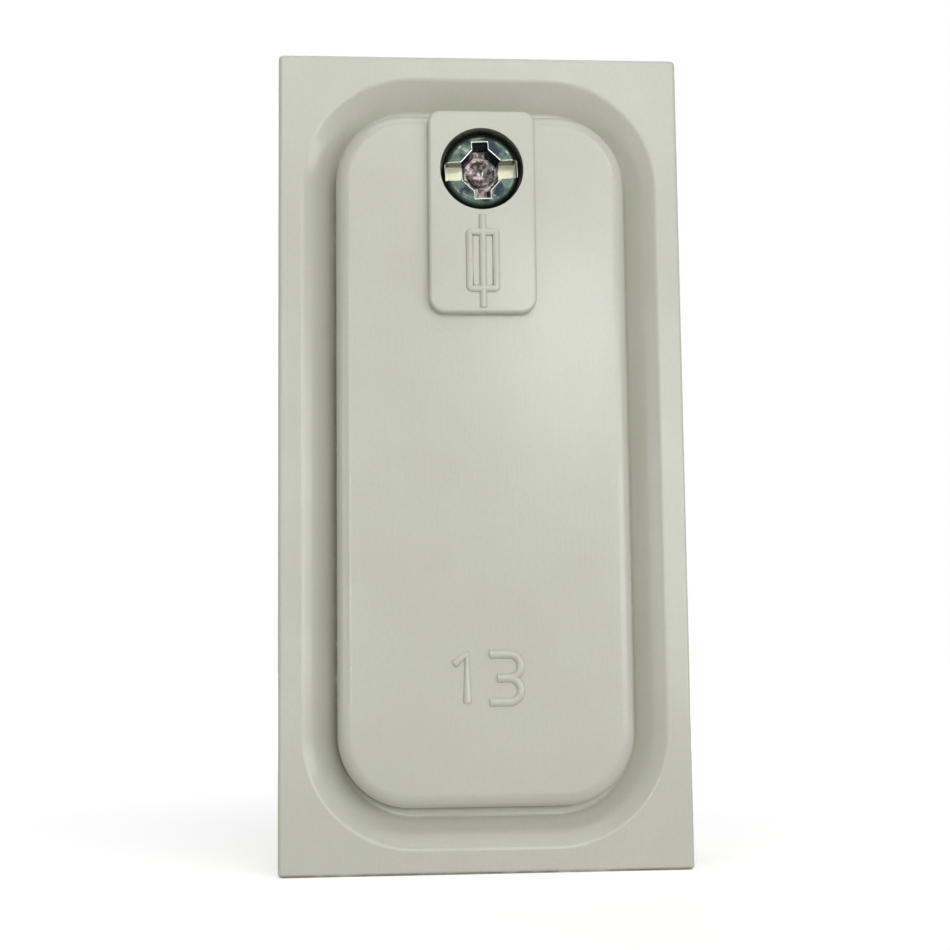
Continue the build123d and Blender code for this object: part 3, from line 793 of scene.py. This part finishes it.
class FuseScrews(bpy.types.PropertyGroup):
    """The recess of the carrier screw and the threads of all the screws."""

    arm_reach: length_property("Arm reach", "From the middle to the end of the upright arms", 1.75)
    arm_width: length_property("Arm width", "Width of the upright arms", 0.94)
    web_reach: length_property("Web reach", "From the middle to where the sloped webs would meet", 1.75)
    slot_reach: length_property("Slot reach", "From the middle to the ends of the slot", 2.2)
    slot_width: length_property("Slot width", "Width of the slot", 1.06)
    recess_depth: length_property("Recess depth", "Depth of the slot and the cross", 1.15)
    turned: FloatProperty(
        name="Turned", description="How far the recess is turned from level", default=math.radians(3.0),
        subtype="ANGLE",
    )
    pitch: length_property("Carrier screw pitch", "Pitch of the carrier screw", 0.5)
    clamp_pitch: length_property("Clamp screw pitch", "Pitch of the clamping screws", 0.6)
    fixing_pitch: length_property("Fixing screw pitch", "Pitch of the fixing screws", 0.9)


class FuseMarks(bpy.types.PropertyGroup):
    """The raised marks on the carrier."""

    ridge_height: length_property("Ridge height", "How far the marks stand proud", 0.16)
    symbol_line: length_property("Symbol line", "Line width of the fuse symbol", 0.46)
    symbol_width: length_property("Symbol width", "Width of the symbol's box between its lines", 1.61)
    symbol_foot: length_property("Symbol foot", "Height of the foot of the symbol's box", 9.945)
    symbol_head: length_property("Symbol head", "Height of the head of the symbol's box", 13.445)
    wire_foot: length_property("Wire foot", "Height of the lower end of the symbol's wire", 8.8)
    wire_head: length_property("Wire head", "Height of the upper end of the symbol's wire", 14.55)
    figure_line: length_property("Figure line", "Line width of the figures", 0.52)
    figure_height: length_property("Figure height", "Height of the figures", 3.35)
    figure_foot: length_property("Figure foot", "Height of the foot of the figures", -15.15)


class FuseStage(bpy.types.PropertyGroup):
    """The lights and the camera."""

    key_power: power_property("Key light", "Power of the light in front on the right", 0.92)
    left_power: power_property("Left light", "Power of the light far out on the left", 0.18)
    over_power: power_property("Top light", "Power of the light from above", 0.46)
    wash_power: power_property("Floor wash", "Power of the light high above that brightens the floor", 0.7)
    rear_power: power_property("Rear light", "Power of the light behind the object", 0.5)
    window_power: power_property("Window", "Power of the small light that makes the sheen", 0.085)
    line_power: power_property("Line light", "Power of the narrow light near the left", 0.16)
    fill: FloatProperty(name="Fill", description="Strength of the light from all round", default=0.19)
    focal_pixels: IntProperty(
        name="Focal length", description="Focal length in pixels of the 950 pixel picture", default=1700,
        subtype="PIXEL",
    )


# Pieces


class DressPlastic(bpy.types.Operator):
    """Puts the smooth front frame, base and carrier in place of their solids"""

    bl_idname = "fuse_module.dress_plastic"
    bl_label = "Moulded pieces"

    def execute(self, context):
        for node in PLASTIC_NODES:
            dress(node)
        return {"FINISHED"}


class DressMetal(bpy.types.Operator):
    """Puts the smooth contacts, terminals, insert, retaining ring and fuse in place of their solids"""

    bl_idname = "fuse_module.dress_metal"
    bl_label = "Metal pieces and fuse"

    def execute(self, context):
        for node in frame["nodes"]:
            if node not in PLASTIC_NODES and "screw" not in node:
                dress(node)
        dress("screw_retainer")
        return {"FINISHED"}


class CutCarrierScrew(bpy.types.Operator):
    """Makes the carrier screw with its recess and thread"""

    bl_idname = "fuse_module.cut_carrier_screw"
    bl_label = "Carrier screw"

    def execute(self, context):
        screws = context.scene.fuse_screws
        place = SCREW_AXIS / MM
        top, tip = SCREW_LOW.y / MM, SCREW_HIGH.y / MM
        neck_front, neck_rear = RING_LOW.y / MM - RING_PLAY, RING_HIGH.y / MM + RING_PLAY
        section = self.section(top, tip, neck_front, neck_rear)
        blank = turned_blank("carrier_screw_blank", section, place.x, place.z)
        mesh = carved("carrier_screw_blank", blank, self.recess(screws, top, place))
        ends, radii = (neck_rear, tip - THREAD_RUN_IN), (CORE_RADIUS, SHANK_RADIUS)
        mesh = threaded("carrier_screw", mesh, thread_tree(), place, ends, radii, screws.pitch)
        in_place_of("carrier_screw", mesh)
        return {"FINISHED"}

    @staticmethod
    def section(top, tip, neck_front, neck_rear):
        """The screw's half section: a crowned head, a shank, a neck for the ring, and the thread's core."""
        head, seat = (SCREW_HIGH.x - SCREW_LOW.x) / 2 / MM, top + HEAD_HEIGHT
        return [(0, top)] + [(head - inward, top + down) for inward, down in HEAD_CROWN] + [
            (head, seat), (SHANK_RADIUS, seat), (SHANK_RADIUS, neck_front), (NECK_RADIUS, neck_front),
            (NECK_RADIUS, neck_rear), (CORE_RADIUS, neck_rear), (CORE_RADIUS, tip - TIP_CHAMFER),
            (CORE_RADIUS - TIP_CHAMFER, tip), (0, tip),
        ]

    @staticmethod
    def recess(screws, top, place):
        """The cutters of the recess: a cross with sloped webs, a dimple in its floor, and a slot across.

        The cross leans in to its floor. It starts in front of the head, as the slot does, to cut it cleanly.
        """
        arm, slot = screws.arm_width / MM / 2, screws.slot_width / MM / 2
        reach, web, depth = screws.arm_reach / MM, screws.web_reach / MM, screws.recess_depth / MM
        left = [(-arm, web - arm), (slot - web, slot), (slot - web, -slot), (-arm, arm - web)]
        half = [(arm, reach), (-arm, reach)] + left
        spin = Matrix.Rotation(screws.turned, 2)
        cross = [tuple(spin @ Vector(point)) for point in half + scaled(half, -1)]
        across = [tuple(spin @ Vector(point)) for point in oblong(screws.slot_reach / MM, slot)]
        rings = [(scaled(cross, 1.02), top - 0.1), (cross, top), (scaled(cross, CROSS_FLOOR), top + depth)]
        dimple = [(0, -0.1), (1.02, -0.1), (0.98, 0), (0.8, 0.1), (0.55, 0.2), (0.3, 0.26), (0, 0.28)]
        dimple = [(radius, top + depth + down) for radius, down in dimple]
        return [
            sunk_solid("cross", rings, place),
            turned_blank("dimple", dimple, place.x, place.z, steps=48),
            sunk_solid("slot", [(across, top - CUT_PAST), (across, top + depth - SLOT_RISE)], place),
        ]


class CutSlottedScrews(bpy.types.Operator):
    """Makes the clamping and fixing screws with their slots and threads"""

    bl_idname = "fuse_module.cut_slotted_screws"
    bl_label = "Clamping and fixing screws"

    def execute(self, context):
        screws = context.scene.fuse_screws
        pitches = {"clamp_screw": screws.clamp_pitch, "fixing_screw": screws.fixing_pitch}
        tree = thread_tree()
        for node in SLOTTED_SCREWS:
            kind = node.rpartition("_")[0]
            form = SLOTTED_FORMS[kind]
            low, high = (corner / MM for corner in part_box(node))
            place = Vector(((low.x + high.x) / 2, 0, (low.z + high.z) / 2))
            head, shank = (high.x - low.x) / 2, form["shank"]
            seat, core = high.y - form["head_height"], shank - SLOTTED_THREAD_DEPTH
            ends = low.y + THREAD_RUN_IN, seat - THREAD_RUN_OUT
            section = [
                (0, low.y), (core - TIP_CHAMFER, low.y), (core, low.y + TIP_CHAMFER), (core, ends[1]),
                (shank - SEAT_ROUND, seat - FULL_SHANK), (shank, seat), (head - SEAT_ROUND, seat),
                (head, seat + SEAT_ROUND),
            ]
            section += [(head - inward, high.y - down) for inward, down in SLOTTED_CROWN] + [(0, high.y)]
            blank = turned_blank(node + "_blank", section, place.x, place.z)
            across = oblong(head + CUT_PAST, form["slot_width"] / 2)
            rings = [(across, high.y - form["slot_depth"]), (across, high.y + CUT_PAST)]
            mesh = carved(node + "_blank", blank, [sunk_solid("slot", rings, place)])
            in_place_of(node, threaded(node, mesh, tree, place, ends, (core, shank), pitches[kind]))
        return {"FINISHED"}


class RaiseSymbol(bpy.types.Operator):
    """Raises the fuse symbol on the carrier's tab"""

    bl_idname = "fuse_module.raise_symbol"
    bl_label = "Fuse symbol"

    def execute(self, context):
        marks = context.scene.fuse_marks
        box = rounded_box(marks.symbol_width / 2, marks.symbol_foot, marks.symbol_head, SYMBOL_CORNER)
        wire = [(0, marks.wire_foot), (0, marks.wire_head)]
        strokes = [(box, True), (wire, False)]
        raise_lines("fuse_symbol", strokes, CARRIER_LOW.y, marks.symbol_line, marks.ridge_height)
        return {"FINISHED"}


class RaiseFigures(bpy.types.Operator):
    """Raises two plain figures at the carrier's foot"""

    bl_idname = "fuse_module.raise_figures"
    bl_label = "Figures"

    def execute(self, context):
        marks = context.scene.fuse_marks
        foot = marks.figure_foot + marks.figure_line / 2
        head = foot + marks.figure_height - marks.figure_line
        middle = (head + foot) / 2

        # the 1: a short flag and an upright
        one = [(ONE_UPRIGHT - FLAG_WIDTH, head - FLAG_DROP), (ONE_UPRIGHT, head), (ONE_UPRIGHT, foot)]

        # the 3: two half rounds, with straight ends at its head and foot and a shorter one between them
        bowl, centre = (head - foot) / 4, THREE_CENTRE
        upper = [(centre - THREE_END, head)] + arc(centre, head - bowl, bowl, 90, -90)
        lower = [(centre - THREE_MIDDLE, middle)] + arc(centre, foot + bowl, bowl, 90, -90)
        lower += [(centre - THREE_END, foot)]
        strokes = [(one, False), (upper, False), (lower, False)]
        y = CARRIER_LOW.y + TAB_PROUD
        raise_lines("figures", strokes, y, marks.figure_line, marks.ridge_height)
        return {"FINISHED"}


class SetStage(bpy.types.Operator):
    """Sets the floor, the white surroundings, the lights and the camera"""

    bl_idname = "fuse_module.set_stage"
    bl_label = "Stage"

    def execute(self, context):
        stage = context.scene.fuse_stage
        context.scene.view_settings.view_transform = "Standard"
        self.lay_floor()
        context.scene.world = self.white_room(stage.fill)
        for name, (size, azimuth, elevation) in LAMPS.items():
            self.lamp(name, getattr(stage, name + "_power"), size, azimuth, elevation)
        context.scene.camera = self.camera(stage.focal_pixels)
        return {"FINISHED"}

    @staticmethod
    def seen(tree):
        """1 for camera, mirror and glass rays, and 0 for the rays that light things."""
        path = add_node(tree, "ShaderNodeLightPath").outputs
        either = maths(tree, "MAXIMUM", path["Is Camera Ray"], path["Is Glossy Ray"])
        return maths(tree, "MAXIMUM", either, path["Is Transmission Ray"])

    def lay_floor(self):
        """A pale floor under the object, seen as near white, with the object's shadow on it."""
        mesh = bpy.data.meshes.new("floor")
        shape = bmesh.new()
        level = Matrix.Translation((0, 0, FACE_LOW.z))
        bmesh.ops.create_circle(shape, cap_ends=True, segments=64, radius=FLOOR_RADIUS, matrix=level)
        shape.to_mesh(mesh)
        shape.free()
        material = bpy.data.materials.new("pale_floor")
        material.use_nodes = True
        tree = material.node_tree
        tree.nodes.clear()
        matt = add_node(tree, "ShaderNodeBsdfDiffuse", {"Color": (0.8, 0.8, 0.8, 1)})
        away = add_node(tree, "ShaderNodeVectorMath", {0: own_place(tree)}, operation="LENGTH")
        far = eased(tree, away.outputs["Value"], GLOW_STARTS, GLOW_ENDS)
        strength = maths(tree, "MULTIPLY_ADD", far, GLOW_FAR - GLOW_NEAR, GLOW_NEAR)
        glow = add_node(tree, "ShaderNodeEmission", {"Strength": product(tree, self.seen(tree), strength)})
        both = add_node(tree, "ShaderNodeAddShader", {0: matt.outputs[0], 1: glow.outputs[0]})
        add_node(tree, "ShaderNodeOutputMaterial", {"Surface": both.outputs[0]})
        mesh.materials.append(material)
        floor = linked("floor", mesh)

    def white_room(self, fill):
        """White all round for the camera and for reflections, and a plain fill for the rest."""
        world = bpy.data.worlds.new("white_room")
        world.use_nodes = True
        tree = world.node_tree
        tree.nodes.clear()
        strength = maths(tree, "MAXIMUM", self.seen(tree), fill)
        background = add_node(tree, "ShaderNodeBackground", {"Color": (1, 1, 1, 1), "Strength": strength})
        add_node(tree, "ShaderNodeOutputWorld", {"Surface": background.outputs[0]})
        return world

    @staticmethod
    def lamp(name, power, size, azimuth, elevation):
        """A soft light that faces the object's middle, its angles in degrees."""
        turn, rise = math.radians(azimuth), math.radians(elevation)
        forward = math.cos(rise)
        place = LAMP_DISTANCE * Vector((math.sin(turn) * forward, -math.cos(turn) * forward, math.sin(rise)))
        data = bpy.data.lights.new(name, "AREA")
        data.energy = power
        data.shape = "RECTANGLE"
        data.size, data.size_y = size
        made = linked(name, data)
        made.matrix_world = Matrix.Translation(place) @ (-place).to_track_quat("-Z", "Y").to_matrix().to_4x4()

    @staticmethod
    def camera(focal_pixels):
        """The camera of the photograph's fit."""
        lean = Matrix.Rotation(CAMERA_LEAN, 3, "Z")
        turn = Matrix.Rotation(CAMERA_TURN, 3, "Y")
        tilt = Matrix.Rotation(CAMERA_TILT, 3, "X")
        view = lean @ turn @ tilt
        to_view = Matrix(((1, 0, 0), (0, 0, 1), (0, -1, 0)))
        place = -(view.transposed() @ FACE_FROM_CAMERA) * MM
        data = bpy.data.cameras.new("camera")
        data.sensor_width = 36.0
        data.lens = focal_pixels * data.sensor_width / PICTURE_WIDTH
        data.shift_x, data.shift_y = (pixels / PICTURE_WIDTH for pixels in LENS_SHIFT)
        data.clip_start = 0.005
        made = linked("camera", data)
        made.matrix_world = Matrix.Translation(
            to_view.transposed() @ place + Vector((0, FACE_LOW.y, 0))
        ) @ (view @ to_view).transposed().to_4x4()
        return made


class FusePanel(bpy.types.Panel):
    """The pieces of the fuse module"""

    bl_idname = "VIEW3D_PT_fuse_module"
    bl_label = "Fuse module"
    bl_space_type = "VIEW_3D"
    bl_region_type = "UI"
    bl_category = "Fuse module"

    def draw(self, context):
        for name, group in GROUPS:
            for title in group.__annotations__:
                self.layout.prop(getattr(context.scene, name), title)
        for operator in OPERATORS:
            self.layout.operator(operator.bl_idname)


GROUPS = (
    ("fuse_plastic", FusePlastic),
    ("fuse_metal", FuseMetal),
    ("fuse_screws", FuseScrews),
    ("fuse_marks", FuseMarks),
    ("fuse_stage", FuseStage),
)
OPERATORS = (DressPlastic, DressMetal, CutCarrierScrew, CutSlottedScrews, RaiseSymbol, RaiseFigures, SetStage)


def register():
    for name, group in GROUPS:
        bpy.utils.register_class(group)
        setattr(bpy.types.Scene, name, PointerProperty(type=group))
    for operator in OPERATORS:
        bpy.utils.register_class(operator)
    bpy.utils.register_class(FusePanel)


def unregister():
    bpy.utils.unregister_class(FusePanel)
    for operator in reversed(OPERATORS):
        bpy.utils.unregister_class(operator)
    for name, group in reversed(GROUPS):
        delattr(bpy.types.Scene, name)
        bpy.utils.unregister_class(group)


def main():
    register()
    bpy.ops.fuse_module.dress_plastic()
    bpy.ops.fuse_module.dress_metal()
    bpy.ops.fuse_module.cut_carrier_screw()
    bpy.ops.fuse_module.cut_slotted_screws()
    bpy.ops.fuse_module.raise_symbol()
    bpy.ops.fuse_module.raise_figures()
    bpy.ops.fuse_module.set_stage()


if __name__ == "__main__":
    main()
